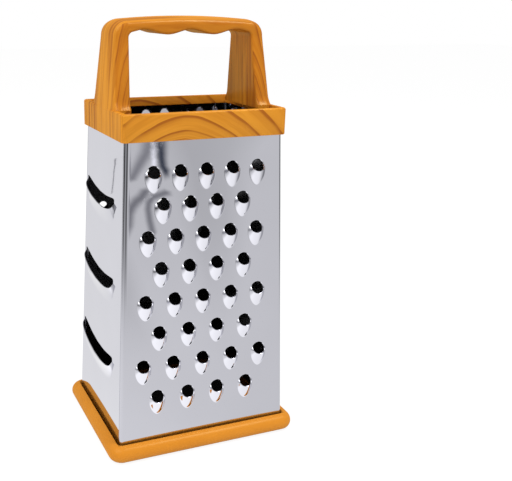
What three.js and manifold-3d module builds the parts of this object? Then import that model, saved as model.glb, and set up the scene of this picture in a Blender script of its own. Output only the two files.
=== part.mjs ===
// A four-sided box grater: four stamped steel panels, an arch handle moulded in one with its collar,
// and a bumper ring round the foot. Millimetres, +Z up, origin at the middle of the underside.
// The coarse face looks along -Y, the slicing face along -X, the medium face along +Y
// and the fine face along +X.
import * as THREE from "three";
import Module from "manifold-3d";

// Gap between pieces that touch
const FIT = 0.3;

// Steel body, measured over the outside of the sheet
const SHEET = 0.45;
const BODY_HEIGHT = 179.9;
const FOOT_WIDTH = 100.9;
const FOOT_DEPTH = 79.5;
const RIM_WIDTH = 88;
const RIM_DEPTH = 67.3;
const BEND_RADIUS = 1.8;
const BEND_STEPS = 4;
const SEAM = 0.5; // width of the seam beside each corner bend
const LAP = 3; // length of flange behind each side panel

// Dimples that snap the side panels into the collar and the base ring
const DIMPLE_RADIUS = 1.6;
const DIMPLE_LIFT = 0.7;
const DIMPLE_SIDES = 8;
const DIMPLE_WAIST = 0.5; // middle ring of a dimple, as a share of its radius
const DIMPLE_INSET = 12; // from the panel's edge
const DIMPLE_BELOW_RIM = 5;

// Toothed faces: distances to the rows are measured from the collar's lower edge and the ring's top
const COARSE = {
  rows: 8,
  columns: 5,
  belowCollar: 16.25,
  aboveRing: 24.85,
  topMargin: 13.4,
  bottomMargin: 11.7,
  topShift: 0.35, // how far the top row stands to the right of the middle
  rowShift: -1.35, // and the other rows, which stand to the left
  growth: 0.0101, // how much each row's pitch exceeds the last, as a share
  radius: 3.6,
  edge: 0.35,
  flank: 1.6, // how much wider than the hole the dome's foot grows on each side
  length: 10.35,
  lift: 3,
  lipDrop: 2.35,
  press: 0.25,
  sides: 10,
  rings: 2,
};
const MEDIUM = {
  rows: 8,
  columns: 5,
  belowCollar: 12,
  aboveRing: 22.5,
  topMargin: 9,
  bottomMargin: 9,
  radius: 2.4,
  edge: 0.3,
  flank: 0.6,
  length: 7.5,
  lift: 1.6,
  lipDrop: 1.6,
  press: 0.2,
  sides: 8,
  rings: 1,
};
const FINE = {
  rows: 11,
  columns: 7,
  belowCollar: 11,
  aboveRing: 17,
  topMargin: 8,
  bottomMargin: 8,
  foot: 1.7,
  hole: 0.75,
  lift: 1.1,
};

// How full the domes are at their sides, as an exponent: smaller is fuller
const TOOTH_FULLNESS = 0.6;
const LIP_REACH = 0.25; // how far above the hole's middle the lip starts to rise, as a share of the radius

// Slicing face
const SLOTS = 3;
const SLOT_BELOW_COLLAR = 33.2;
const SLOT_ABOVE_RING = 42.1;
const SLOT_GROWTH = 0.016;
const SLOT_MARGIN = 8;
const SLOT_SHIFT = -5.7; // the slots reach further back than forward
const SLOT_OPENING = 6.3;
const SLOT_ARC_RADIUS = 85;
const SLOT_RAMP = 9;
const SLOT_LIFT = 2.2;
const SLOT_EDGE = 0.4;
const SLOT_SIDES = 24;
const SLOT_BLUNTNESS = 0.35; // exponent: smaller is blunter

// Base ring
const RING_FLOOR = 3.8;
const RING_HEIGHT = 9.6;
const RING_OVERHANG = 6.1;
const RING_GROOVE = 0.9; // width of the open groove between bumper and steel
const RING_GROOVE_DEPTH = 1.9;
const RING_LIP = 0.4; // rounding of the ring's small edges
const RING_FLANGE = 2;
const RING_FLANGE_HEIGHT = 10.8;
const RING_ROUND_STEPS = 8;

// Recesses for the dimples
const RECESS_SIDES = 12;

// Collar
const COLLAR_GRIP = 9.4; // length of skirt over the steel
const COLLAR_RISE = 4.9; // height above the ledge on the rim
const COLLAR_SIDE_WALL = 1.6;
const COLLAR_FACE_WALL = 1;
const COLLAR_LEDGE = 1;
const COLLAR_CORNER = 2.4;
const COLLAR_EDGE = 1.5;
const COLLAR_CHAMFER = 0.4;
const LEAST_RADIUS = 0.4;
const CORNER_STEPS = 4;
const COLLAR_ROUND_STEPS = 3;

// Arch handle
const HANDLE_RISE = 46.4; // collar top to crown
const LEG_LEAN = 2.6;
const LEG_SINK = 1.7; // how far the legs reach below the collar's top
const LEG_FOOT_THICKNESS = 10;
const LEG_TOP_THICKNESS = 9;
const LEG_FOOT_DEPTH = 38.5;
const BAR_DEPTH = 26;
const LEG_FLARE = 2; // fillet where a leg meets the collar
const LEG_FLARE_HEIGHT = 5;
const SHOULDER_WIDTH = 8.5;
const SHOULDER_HEIGHT = 8.8;
const CROWN_BOW = 1.5;
const BAR_THICKNESS = 8.1;
const INNER_CORNER = 3;
const WAVE_HEIGHT = 2.5; // trough to crest of the finger waves
const WAVE_LENGTH = 25.9; // crest to crest
const OUTER_CROWN = 1;
const CROWN_POINT = 0.4; // where the crown's section bends, as a share of its half depth
const OUTER_ROUND = 3.6;
const INNER_ROUND = 1.5;
const LEAST_FLAT = 0.3; // least flat left between the two roundings where the bar is thin
const LEG_WALL = 2.2;
const POCKET_SHORT = 4; // solid length left above each leg's pocket
const FLARE_STEPS = 3;
const LEG_STEPS = 3;
const SHOULDER_STEPS = 5;
const BAR_STEPS = 9;
const INNER_ROUND_STEPS = 2;
const OUTER_ROUND_STEPS = 3;

// Heights that follow from the sizes above
const footZ = RING_FLOOR + FIT;
const rimZ = footZ + BODY_HEIGHT;
const ledgeZ = rimZ + FIT;
const skirtZ = ledgeZ - COLLAR_GRIP;
const collarZ = ledgeZ + COLLAR_RISE;
const crownZ = collarZ + HANDLE_RISE;

const { lerp } = THREE.MathUtils;
const wasm = await Module();
wasm.setup();

// Half width and half depth of the steel body's outside at a height
const halfWidth = (z) => lerp(FOOT_WIDTH, RIM_WIDTH, (z - footZ) / BODY_HEIGHT) / 2;
const halfDepth = (z) => lerp(FOOT_DEPTH, RIM_DEPTH, (z - footZ) / BODY_HEIGHT) / 2;

// A list of count values from a function of the index
const listOf = (count, value) => Array.from({ length: count }, (_, index) => value(index));

// A surface gathered row by row. Faces point out where rows run to the right and climb, seen from outside.
class Skin {
  constructor() {
    this.points = [];
    this.faces = [];
  }

  row(points) {
    const start = this.points.length;
    this.points.push(...points);
    return points.map((_, index) => start + index);
  }

  band(lower, upper, closed) {
    const spans = closed ? lower.length : lower.length - 1;
    for (let i = 0; i < spans; i++) {
      const j = (i + 1) % lower.length;
      this.faces.push(lower[i], lower[j], upper[j]);
      this.faces.push(lower[i], upper[j], upper[i]);
    }
  }

  fan(row, centre) {
    row.forEach((corner, i) => this.faces.push(corner, row[(i + 1) % row.length], centre));
  }

  solid() {
    const mesh = new wasm.Mesh({
      numProp: 3,
      vertProperties: new Float32Array(this.points.flat()),
      triVerts: new Uint32Array(this.faces),
    });
    return new wasm.Manifold(mesh);
  }
}

function geometryOf(solid) {
  const mesh = solid.getMesh();
  const geometry = new THREE.BufferGeometry();
  geometry.setAttribute("position", new THREE.BufferAttribute(mesh.vertProperties, 3));
  geometry.setIndex(new THREE.BufferAttribute(mesh.triVerts, 1));
  geometry.computeVertexNormals();
  return geometry;
}

// Steel panels. Each is made facing -Y, in u (to the right), z (up) and h (out of the sheet), then turned.

// A path's points moved sideways to the left by a distance, with mitred corners
function offsetPath(path, distance) {
  const normals = path.slice(1).map(([x, y], i) => {
    const along = new THREE.Vector2(x - path[i][0], y - path[i][1]).normalize();
    return new THREE.Vector2(-along.y, along.x);
  });
  return path.map(([x, y], i) => {
    const before = normals[Math.max(i - 1, 0)];
    const after = normals[Math.min(i, normals.length - 1)];
    const mitre = before.clone().add(after);
    mitre.multiplyScalar(distance / (1 + before.dot(after)));
    return [x + mitre.x, y + mitre.y];
  });
}

// Horizontal section of a panel that carries corner bends: round each corner, in behind the side panel
// and along it
function bentSection(z) {
  const reach = halfDepth(z);
  const corner = halfWidth(z);
  const behind = corner - SHEET - FIT;
  const bendEnd = reach - BEND_RADIUS;
  const right = listOf(BEND_STEPS + 1, (step) => {
    const angle = ((step / BEND_STEPS) * Math.PI) / 2;
    const x = corner - BEND_RADIUS + BEND_RADIUS * Math.sin(angle);
    return [x, -bendEnd - BEND_RADIUS * Math.cos(angle)];
  });
  right.push([behind, -bendEnd + SEAM]);
  right.push([behind, -bendEnd + SEAM + LAP]);
  const left = right.map(([x, y]) => [-x, y]).reverse();
  return [...left, ...right];
}

// Horizontal section of a flat panel between the corner bends
function flatSection(z) {
  const edge = halfDepth(z) - BEND_RADIUS - SEAM;
  return [
    [-edge, -halfWidth(z)],
    [edge, -halfWidth(z)],
  ];
}

// A sheet between foot and rim with stampings in its flat middle. A stamping is a list of rings of [u, z, h],
// from its outline in the sheet to the edge of its hole, or to a closing point.
function stampedSheet(section, reach, stampings) {
  const skin = new Skin();
  const rowsAt = (z) => {
    const outside = section(z);
    const inside = offsetPath(outside, SHEET);
    return [outside, inside].map((path) => skin.row(path.map(([x, y]) => [x, y, z])));
  };
  const [outerFoot, innerFoot] = rowsAt(footZ);
  const [outerRim, innerRim] = rowsAt(rimZ);
  const last = outerFoot.length - 1;
  const fold = (last - 1) / 2;
  for (let i = 0; i < last; i++) {
    if (i !== fold) {
      skin.band([outerFoot[i], outerFoot[i + 1]], [outerRim[i], outerRim[i + 1]], false);
      skin.band([innerFoot[i + 1], innerFoot[i]], [innerRim[i + 1], innerRim[i]], false);
    }
  }
  skin.band(innerFoot, outerFoot, false);
  skin.band(outerRim, innerRim, false);
  skin.band([innerFoot[0], outerFoot[0]], [innerRim[0], outerRim[0]], false);
  skin.band([outerFoot[last], innerFoot[last]], [outerRim[last], innerRim[last]], false);

  const ringRow = (ring, depth) => skin.row(ring.map(([u, z, h]) => [u, depth - h - reach(z), z]));
  const outerRings = stampings.map((rings) => rings.map((ring) => ringRow(ring, 0)));
  const innerRings = stampings.map((rings) => rings.map((ring) => ringRow(ring, SHEET)));
  stampings.forEach((rings, s) => {
    const outer = outerRings[s];
    const inner = innerRings[s];
    for (let i = 1; i < rings.length; i++) {
      if (rings[i].length === 1) {
        skin.fan(outer[i - 1], outer[i][0]);
        skin.fan([...inner[i - 1]].reverse(), inner[i][0]);
      } else {
        skin.band(outer[i - 1], outer[i], true);
        skin.band(inner[i], inner[i - 1], true);
      }
    }
    if (rings.at(-1).length > 1) {
      skin.band(outer.at(-1), inner.at(-1), true);
    }
  });

  const frame = (foot, rim) => [foot[fold], foot[fold + 1], rim[fold + 1], rim[fold]];
  const flat = ([x, , z]) => new THREE.Vector2(x, z);
  const contour = frame(outerFoot, outerRim).map((index) => flat(skin.points[index]));
  const holes = stampings.map((rings) => rings[0].map(([u, z]) => new THREE.Vector2(u, z)));
  const outerIndex = [...frame(outerFoot, outerRim), ...outerRings.flatMap((rings) => rings[0])];
  const innerIndex = [...frame(innerFoot, innerRim), ...innerRings.flatMap((rings) => rings[0])];
  THREE.ShapeUtils.triangulateShape(contour, holes).forEach(([a, b, c]) => {
    skin.faces.push(outerIndex[a], outerIndex[b], outerIndex[c]);
    skin.faces.push(innerIndex[a], innerIndex[c], innerIndex[b]);
  });
  return skin.solid();
}

// Heights of evenly growing rows, from the first under the collar to the last above the ring
function rowHeights(count, belowCollar, aboveRing, growth = 0) {
  const top = skirtZ - belowCollar;
  const bottom = RING_HEIGHT + aboveRing;
  const reached = (row) => row * (1 + growth * (row - 1));
  return listOf(count, (row) => lerp(top, bottom, reached(row) / reached(count - 1)));
}

// Staggered places for a face: full rows and rows one short take turns, and rows may stand to one side
function staggered(face, halfFlat) {
  const heights = rowHeights(face.rows, face.belowCollar, face.aboveRing, face.growth);
  return heights.flatMap((z, row) => {
    const margin = lerp(face.topMargin, face.bottomMargin, row / (face.rows - 1));
    const pitch = (2 * (halfFlat(z) - margin)) / (face.columns - 1);
    const count = face.columns - (row % 2);
    const shift = (row === 0 ? face.topShift : face.rowShift) ?? 0;
    return listOf(count, (column) => [(column - (count - 1) / 2) * pitch + shift, z]);
  });
}

// A shredding tooth: a round hole whose lower half is drawn out into a lip, with a long tapering dome below
function tooth(u, z, face) {
  const spread = face.radius + face.edge;
  return listOf(face.rings + 1, (ring) => {
    const share = ring / face.rings;
    return listOf(face.sides, (side) => {
      const angle = (2 * Math.PI * side) / face.sides - Math.PI / 2;
      const across = Math.cos(angle);
      const up = Math.max(Math.sin(angle), 0);
      const down = Math.max(-Math.sin(angle), 0);
      const rise = Math.max(LIP_REACH - Math.sin(angle), 0) / (1 + LIP_REACH);
      const foot = spread + face.flank * Math.sqrt(rise) * Math.abs(across);
      const outline = spread * up - face.length * down;
      const hole = face.radius * up - face.lipDrop * down;
      const lift = face.lift * Math.pow(rise, TOOTH_FULLNESS) * Math.sin((share * Math.PI) / 2);
      return [
        u + lerp(foot, face.radius, share) * across,
        z + lerp(outline, hole, share),
        lift - face.press * up * share,
      ];
    });
  });
}

// A rasp point: a small square pierced outwards into a sharp crown
function raspPoint(u, z, face) {
  const diamond = (reach, height) => [
    [u + reach, z, height],
    [u, z + reach, height],
    [u - reach, z, height],
    [u, z - reach, height],
  ];
  return [diamond(face.foot, 0), diamond(face.hole, face.lift)];
}

// A slicing slot: an upward-curving opening whose lower edge is a blade raised on a long ramp
function slicingSlot(z, half) {
  return [0, 1].map((share) =>
    listOf(SLOT_SIDES, (side) => {
      const angle = (2 * Math.PI * side) / SLOT_SIDES;
      const across = Math.sign(Math.cos(angle)) * Math.pow(Math.abs(Math.cos(angle)), SLOT_BLUNTNESS);
      const u = SLOT_SHIFT + (half + SLOT_EDGE * (1 - share)) * across;
      const up = Math.pow(Math.max(Math.sin(angle), 0), SLOT_BLUNTNESS);
      const down = Math.pow(Math.max(-Math.sin(angle), 0), SLOT_BLUNTNESS);
      const arc = z + (u * u) / (2 * SLOT_ARC_RADIUS);
      const middle = arc - SLOT_OPENING / 2;
      const above = (SLOT_OPENING / 2 + SLOT_EDGE * (1 - share)) * up;
      const below = (SLOT_OPENING / 2 + SLOT_RAMP * (1 - share)) * down;
      return [u, middle + above - below, SLOT_LIFT * down * share];
    }),
  );
}

// A closed round dimple pressed out of the sheet
function dimple(u, z) {
  const ring = (share) =>
    listOf(DIMPLE_SIDES, (side) => {
      const angle = (2 * Math.PI * side) / DIMPLE_SIDES;
      const radius = DIMPLE_RADIUS * share;
      return [u + radius * Math.cos(angle), z + radius * Math.sin(angle), DIMPLE_LIFT * (1 - share * share)];
    });
  return [ring(1), ring(DIMPLE_WAIST), [[u, z, DIMPLE_LIFT]]];
}

const bentFlat = (z) => halfWidth(z) - BEND_RADIUS;
const sideFlat = (z) => halfDepth(z) - BEND_RADIUS - SEAM;

// Places of the snap dimples on a side panel, as [u, z]
const dimplePlaces = [rimZ - DIMPLE_BELOW_RIM, footZ + DIMPLE_RADIUS + FIT].flatMap((z) =>
  [-1, 1].map((side) => [side * (sideFlat(z) - DIMPLE_INSET), z]),
);
const dimples = () => dimplePlaces.map(([u, z]) => dimple(u, z));

function coarsePanel() {
  const teeth = staggered(COARSE, bentFlat).map(([u, z]) => tooth(u, z, COARSE));
  return stampedSheet(bentSection, halfDepth, teeth);
}

function mediumPanel() {
  const teeth = staggered(MEDIUM, bentFlat).map(([u, z]) => tooth(u, z, MEDIUM));
  return stampedSheet(bentSection, halfDepth, teeth);
}

function finePanel() {
  const points = staggered(FINE, sideFlat).map(([u, z]) => raspPoint(u, z, FINE));
  return stampedSheet(flatSection, halfWidth, [...points, ...dimples()]);
}

function slicingPanel() {
  const heights = rowHeights(SLOTS, SLOT_BELOW_COLLAR, SLOT_ABOVE_RING, SLOT_GROWTH);
  const slots = heights.map((z) => slicingSlot(z, sideFlat(z) - SLOT_MARGIN));
  return stampedSheet(flatSection, halfWidth, [...slots, ...dimples()]);
}

// Mouldings

// A rounded rectangle at one height, anticlockwise seen from above
function loop(halfX, halfY, radius, z) {
  const round = Math.max(radius, LEAST_RADIUS);
  return listOf(4, (corner) => corner).flatMap((corner) => {
    const centreX = (corner < 2 ? 1 : -1) * (halfX - round);
    const centreY = (corner === 1 || corner === 2 ? 1 : -1) * (halfY - round);
    return listOf(CORNER_STEPS + 1, (step) => {
      const angle = ((corner - 1 + step / CORNER_STEPS) * Math.PI) / 2;
      return [centreX + round * Math.cos(angle), centreY + round * Math.sin(angle), z];
    });
  });
}

// A closed frame through a cycle of loops that climbs outside and comes down inside
function frameThrough(loops) {
  const skin = new Skin();
  const rows = loops.map((points) => skin.row(points));
  rows.forEach((row, i) => skin.band(row, rows[(i + 1) % rows.length], true));
  return skin.solid();
}

// Recesses in a moulding for the side panels' dimples near one height
function dimpleRecesses(nearZ) {
  const reach = DIMPLE_LIFT + FIT;
  return dimplePlaces
    .filter(([, z]) => Math.abs(z - nearZ) < BODY_HEIGHT / 2)
    .flatMap(([u, z]) =>
      [-1, 1].map((side) => {
        const radius = DIMPLE_RADIUS + FIT;
        const geometry = new THREE.CylinderGeometry(radius, radius, 2 * reach, RECESS_SIDES);
        geometry.rotateZ(Math.PI / 2);
        geometry.translate(side * halfWidth(z), u, z);
        return solidOf(geometry);
      }),
    );
}

// A closed three.js geometry as a solid, its shared corners merged by place
function solidOf(geometry) {
  const skin = new Skin();
  const known = new Map();
  const position = geometry.getAttribute("position");
  const merged = listOf(position.count, (i) => {
    const point = [position.getX(i), position.getY(i), position.getZ(i)];
    const key = point.map((value) => Math.round(value * 1e4)).join();
    if (!known.has(key)) {
      known.set(key, skin.row([point])[0]);
    }
    return known.get(key);
  });
  const corners = Array.from(geometry.index.array, (i) => merged[i]);
  for (let i = 0; i < corners.length; i += 3) {
    const [a, b, c] = corners.slice(i, i + 3);
    if (a !== b && b !== c && a !== c) {
      skin.faces.push(a, b, c);
    }
  }
  return skin.solid();
}

const cutAll = (solid, cutters) => cutters.reduce((left, cutter) => left.subtract(cutter), solid);

// Base ring: a half-round bumper, a channel for the steel's foot and an upright flange inside it
function baseRing() {
  const roundHeight = RING_HEIGHT / 2;
  const roundWidth = Math.min(roundHeight, RING_OVERHANG - RING_GROOVE);
  const roundCentre = RING_OVERHANG - roundWidth;
  const outside = (offset, z) =>
    loop(halfWidth(z) + offset, halfDepth(z) + offset, BEND_RADIUS + offset, z);
  const inside = (inset, z) =>
    loop(halfWidth(z) - 2 * (SHEET + FIT) - inset, halfDepth(z) - SHEET - FIT - inset, LEAST_RADIUS, z);
  const loops = listOf(RING_ROUND_STEPS + 1, (step) => {
    const angle = (step / RING_ROUND_STEPS - 0.5) * Math.PI;
    return outside(roundCentre + roundWidth * Math.cos(angle), roundHeight * (1 + Math.sin(angle)));
  });
  loops.push(outside(RING_GROOVE + RING_LIP, RING_HEIGHT - RING_LIP / 2));
  loops.push(outside(RING_GROOVE, RING_HEIGHT - 2 * RING_LIP));
  loops.push(outside(FIT, RING_HEIGHT - RING_GROOVE_DEPTH));
  loops.push(outside(FIT, RING_FLOOR));
  loops.push(inside(0, RING_FLOOR));
  loops.push(inside(0, RING_FLANGE_HEIGHT - RING_LIP));
  loops.push(inside(RING_LIP, RING_FLANGE_HEIGHT));
  loops.push(inside(RING_FLANGE, RING_FLANGE_HEIGHT));
  loops.push(inside(RING_FLANGE, 0));
  return cutAll(frameThrough(loops), dimpleRecesses(footZ));
}

const collarX = halfWidth(skirtZ) + FIT + COLLAR_SIDE_WALL;
const collarY = halfDepth(skirtZ) + FIT + COLLAR_FACE_WALL;

// Collar: a skirt round the steel with a ledge that stops on its rim, and rounded upper edges
function collar() {
  const innerX = halfWidth(rimZ) + FIT - COLLAR_LEDGE;
  const innerY = halfDepth(rimZ) + FIT - COLLAR_LEDGE;
  const edge = Math.min(COLLAR_EDGE, (collarY - innerY) / 2);
  const outside = (inset, z) => loop(collarX - inset, collarY - inset, COLLAR_CORNER - inset, z);
  const inside = (inset, z) => loop(innerX + inset, innerY + inset, BEND_RADIUS, z);
  const skirt = (z) => loop(halfWidth(z) + FIT, halfDepth(z) + FIT, BEND_RADIUS + FIT, z);
  const loops = [outside(COLLAR_CHAMFER, skirtZ), outside(0, skirtZ + COLLAR_CHAMFER)];
  for (let step = 0; step <= COLLAR_ROUND_STEPS; step++) {
    const angle = ((step / COLLAR_ROUND_STEPS) * Math.PI) / 2;
    loops.push(outside(edge * (1 - Math.cos(angle)), collarZ - edge * (1 - Math.sin(angle))));
  }
  loops.push(inside(COLLAR_CHAMFER, collarZ));
  loops.push(inside(0, collarZ - COLLAR_CHAMFER));
  loops.push(inside(0, ledgeZ));
  loops.push(skirt(ledgeZ));
  loops.push(skirt(skirtZ));
  return cutAll(frameThrough(loops), dimpleRecesses(rimZ));
}

// The arch, described by stations along it.
// Each has an inner and an outer point in X and Z, and a half depth.
const shoulderZ = crownZ - CROWN_BOW - SHOULDER_HEIGHT;
const legFootZ = collarZ - LEG_SINK;
const legTopX = collarX - LEG_LEAN;
const shoulderX = legTopX - SHOULDER_WIDTH;
const innerTopX = legTopX - LEG_TOP_THICKNESS;
const innerCornerX = innerTopX - INNER_CORNER;
const undersideZ = (x) =>
  crownZ - BAR_THICKNESS + (WAVE_HEIGHT / 2) * Math.cos((2 * Math.PI * x) / WAVE_LENGTH);
const innerCornerZ = undersideZ(innerCornerX) - INNER_CORNER;

function legHalfDepth(z) {
  const flare = Math.max(1 - Math.max(z - collarZ, 0) / LEG_FLARE_HEIGHT, 0);
  const share = THREE.MathUtils.clamp((z - collarZ) / (shoulderZ - collarZ), 0, 1);
  return lerp(LEG_FOOT_DEPTH, BAR_DEPTH, share) / 2 + LEG_FLARE * flare * flare;
}

const legOuterX = (z) => lerp(collarX, legTopX, Math.max(z - collarZ, 0) / (shoulderZ - collarZ));
const legInnerX = (z) =>
  lerp(collarX - LEG_FOOT_THICKNESS, innerTopX, (z - legFootZ) / (innerCornerZ - legFootZ));

// Stations of the right half, from the foot of the leg up to the middle of the bar
function archStations() {
  const flareZ = collarZ + LEG_FLARE_HEIGHT;
  const flareHeights = listOf(FLARE_STEPS, (step) => lerp(collarZ, flareZ, (step / FLARE_STEPS) ** 2));
  const legHeights = listOf(LEG_STEPS, (step) => lerp(flareZ, innerCornerZ, step / LEG_STEPS));
  const leg = [legFootZ, ...flareHeights, ...legHeights].map((z) => ({
    inner: [legInnerX(z), z],
    outer: [legOuterX(z), z],
    half: legHalfDepth(z),
  }));
  const corner = listOf(SHOULDER_STEPS + 1, (step) => {
    const angle = ((step / SHOULDER_STEPS) * Math.PI) / 2;
    return {
      inner: [innerCornerX + INNER_CORNER * Math.cos(angle), innerCornerZ + INNER_CORNER * Math.sin(angle)],
      outer: [shoulderX + SHOULDER_WIDTH * Math.cos(angle), shoulderZ + SHOULDER_HEIGHT * Math.sin(angle)],
      half: legHalfDepth(lerp(innerCornerZ, shoulderZ, Math.sin(angle))),
    };
  });
  const bar = listOf(BAR_STEPS, (step) => {
    const share = 1 - (step + 1) / BAR_STEPS;
    return {
      inner: [innerCornerX * share, undersideZ(innerCornerX * share)],
      outer: [shoulderX * share, crownZ - CROWN_BOW * share * share],
      half: BAR_DEPTH / 2,
    };
  });
  return [...leg, ...corner, ...bar];
}

// Section of the arch at a station: flat inside, rounded edges, crowned outside. Points are [y, share of w].
function archSection({ inner, outer, half }) {
  const across = new THREE.Vector2(outer[0] - inner[0], outer[1] - inner[1]);
  const thickness = across.length();
  across.normalize();
  const quarter = (centreY, centreW, radius, from, steps) =>
    listOf(steps + 1, (step) => {
      const angle = ((from + step / steps) * Math.PI) / 2;
      return [centreY + radius * Math.cos(angle), centreW + radius * Math.sin(angle)];
    });
  const outerRound = Math.min(OUTER_ROUND, thickness - OUTER_CROWN - INNER_ROUND - LEAST_FLAT);
  const shoulderW = thickness - OUTER_CROWN - outerRound;
  const back = [
    ...quarter(half - INNER_ROUND, INNER_ROUND, INNER_ROUND, -1, INNER_ROUND_STEPS),
    ...quarter(half - outerRound, shoulderW, outerRound, 0, OUTER_ROUND_STEPS),
    [half * CROWN_POINT, thickness - OUTER_CROWN * CROWN_POINT ** 2],
  ];
  const front = back.map(([y, w]) => [-y, w]);
  const outline = [...front, [0, thickness], ...back.reverse()];
  return outline.map(([y, w]) => [inner[0] + across.x * w, y, inner[1] + across.y * w]);
}

function arch() {
  const rightHalf = archStations();
  const mirrored = rightHalf.slice(0, -1).reverse();
  const leftHalf = mirrored.map(({ inner, outer, half }) => ({
    inner: [-inner[0], inner[1]],
    outer: [-outer[0], outer[1]],
    half,
  }));
  const skin = new Skin();
  const rows = [...rightHalf, ...leftHalf].map((station) => skin.row(archSection(station)));
  rows.slice(1).forEach((row, i) => skin.band(rows[i], row, true));
  const capCentre = (row) => {
    const sum = new THREE.Vector3();
    row.forEach((index) => sum.add(new THREE.Vector3(...skin.points[index])));
    return skin.row([sum.divideScalar(row.length).toArray()])[0];
  };
  skin.fan([...rows[0]].reverse(), capCentre(rows[0]));
  skin.fan(rows.at(-1), capCentre(rows.at(-1)));
  return skin.solid();
}

// The pocket that hollows a leg from below, side is 1 or -1
function legPocket(side) {
  const skin = new Skin();
  const heights = [legFootZ - FIT, collarZ, innerCornerZ - POCKET_SHORT];
  const rows = heights.map((z) => {
    const near = legInnerX(z) + LEG_WALL;
    const far = legOuterX(z) - OUTER_CROWN - LEG_WALL;
    const half = legHalfDepth(z) - LEG_WALL - INNER_ROUND;
    const corners = [
      [near, -half],
      [far, -half],
      [far, half],
      [near, half],
    ];
    return skin.row(corners.map(([x, y]) => [side * x, side * y, z]));
  });
  rows.slice(1).forEach((row, i) => skin.band(rows[i], row, true));
  const [a, b, c, d] = rows[0];
  const [e, f, g, h] = rows.at(-1);
  skin.faces.push(a, c, b, a, d, c, e, f, g, e, g, h);
  return skin.solid();
}

function handle() {
  const legs = cutAll(arch(), [legPocket(1), legPocket(-1)]);
  return collar().add(legs);
}

// Finishes and assembly
const steel = new THREE.MeshStandardMaterial({ color: 0xc8c9cf, metalness: 1, roughness: 0.15 });
const woodPrint = new THREE.MeshStandardMaterial({ color: 0xd98d38, metalness: 0, roughness: 0.35 });
const bumper = new THREE.MeshStandardMaterial({ color: 0xeb9d40, metalness: 0, roughness: 0.45 });

const grater = new THREE.Group();

function addPiece(name, solid, material, quarterTurns) {
  const mesh = new THREE.Mesh(geometryOf(solid), material);
  mesh.name = name;
  mesh.rotation.z = (quarterTurns * Math.PI) / 2;
  grater.add(mesh);
}

addPiece("coarse_panel", coarsePanel(), steel, 0);
addPiece("fine_panel", finePanel(), steel, 1);
addPiece("medium_panel", mediumPanel(), steel, 2);
addPiece("slicing_panel", slicingPanel(), steel, 3);
addPiece("base_ring", baseRing(), bumper, 0);
addPiece("handle", handle(), woodPrint, 0);

export default grater;
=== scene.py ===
"""A box grater: four stamped panels of bright steel, a wood-print arch handle on a collar and an orange
bumper ring.

Shapes are worked out in millimetres, +Z up, with the coarse face towards -Y. new_piece makes them metres.
"""

import math

import bpy
import numpy as np
from mathutils import Matrix, Vector
from mathutils.geometry import delaunay_2d_cdt


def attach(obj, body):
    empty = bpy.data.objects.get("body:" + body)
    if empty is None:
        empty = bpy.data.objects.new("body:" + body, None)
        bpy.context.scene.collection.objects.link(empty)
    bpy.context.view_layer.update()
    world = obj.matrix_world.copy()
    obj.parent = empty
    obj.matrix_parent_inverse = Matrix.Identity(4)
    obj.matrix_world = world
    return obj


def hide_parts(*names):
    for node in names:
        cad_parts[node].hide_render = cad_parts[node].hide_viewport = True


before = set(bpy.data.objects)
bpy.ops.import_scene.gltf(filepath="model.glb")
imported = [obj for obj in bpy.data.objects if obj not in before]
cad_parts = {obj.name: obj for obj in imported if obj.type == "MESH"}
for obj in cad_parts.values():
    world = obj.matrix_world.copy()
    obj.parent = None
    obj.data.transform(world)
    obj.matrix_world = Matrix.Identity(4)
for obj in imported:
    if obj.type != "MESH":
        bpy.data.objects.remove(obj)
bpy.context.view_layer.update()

MM = 0.001

# Sizes of the steel body, as in the solids
FIT = 0.3
SHEET = 0.45
BODY_HEIGHT = 179.9
FOOT_WIDTH = 100.9
FOOT_DEPTH = 79.5
RIM_WIDTH = 88
RIM_DEPTH = 67.3
BEND_RADIUS = 1.8
SEAM = 0.5
LAP = 3
FOOT_DRAW = 0.3  # the sheet is drawn in between its corners, at the foot
FOOT_DRAW_HEIGHT = 22
RIM_DRAW = 0.65  # and under the collar
RIM_DRAW_HEIGHT = 30
FLAT_STRIP = 1.0  # plain strip beside each bend, so that the flat shades flat
BEND_STEPS = 12
FLAT_COLUMNS = 33
FLAT_ROWS = 16
DRAW_ROWS = 11

DIMPLE_SIDES = 16
DIMPLE_RADIUS = 1.6
DIMPLE_LIFT = 0.7
DIMPLE_INSET = 12
DIMPLE_BELOW_RIM = 5

COARSE = {
    "rows": 8, "columns": 5, "below_collar": 16.25, "above_ring": 24.85, "growth": 0.0101,
    "top_margin": 13.4, "bottom_margin": 11.7, "top_shift": 0.35, "row_shift": -1.35,
    "radius": 3.6, "edge": 0.35, "flank": 1.6, "length": 10.35, "lift": 3.0, "lip_drop": 2.35, "press": 0.25,
    "sides": 40,
}
MEDIUM = {
    "rows": 8, "columns": 5, "below_collar": 12, "above_ring": 22.5, "growth": 0,
    "top_margin": 9, "bottom_margin": 9, "top_shift": 0, "row_shift": 0,
    "radius": 2.4, "edge": 0.3, "flank": 0.6, "length": 7.5, "lift": 1.6, "lip_drop": 1.6, "press": 0.2,
    "sides": 28,
}
FINE = {
    "rows": 11, "columns": 7, "below_collar": 11, "above_ring": 17, "growth": 0,
    "top_margin": 8, "bottom_margin": 8, "top_shift": 0, "row_shift": 0,
    "foot": 1.7, "hole": 0.75, "lift": 1.1, "sides": 16,
}
LIP_REACH = 0.25  # how far up its sides a tooth's lip runs
TOOTH_FULLNESS = 0.6
TOOTH_SWELL = 0.1
TOOTH_FOOT = 0.05  # share of its rise in which a tooth leaves the sheet, at its tip
TOOTH_FOOT_GROWTH = 0.3  # and how much more at its sides
RASP_SWEEP = 1.4
RASP_TEAR = 0.25
TOOTH_BORDER = 0.3
SMALL_BORDER = 0.2

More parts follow.
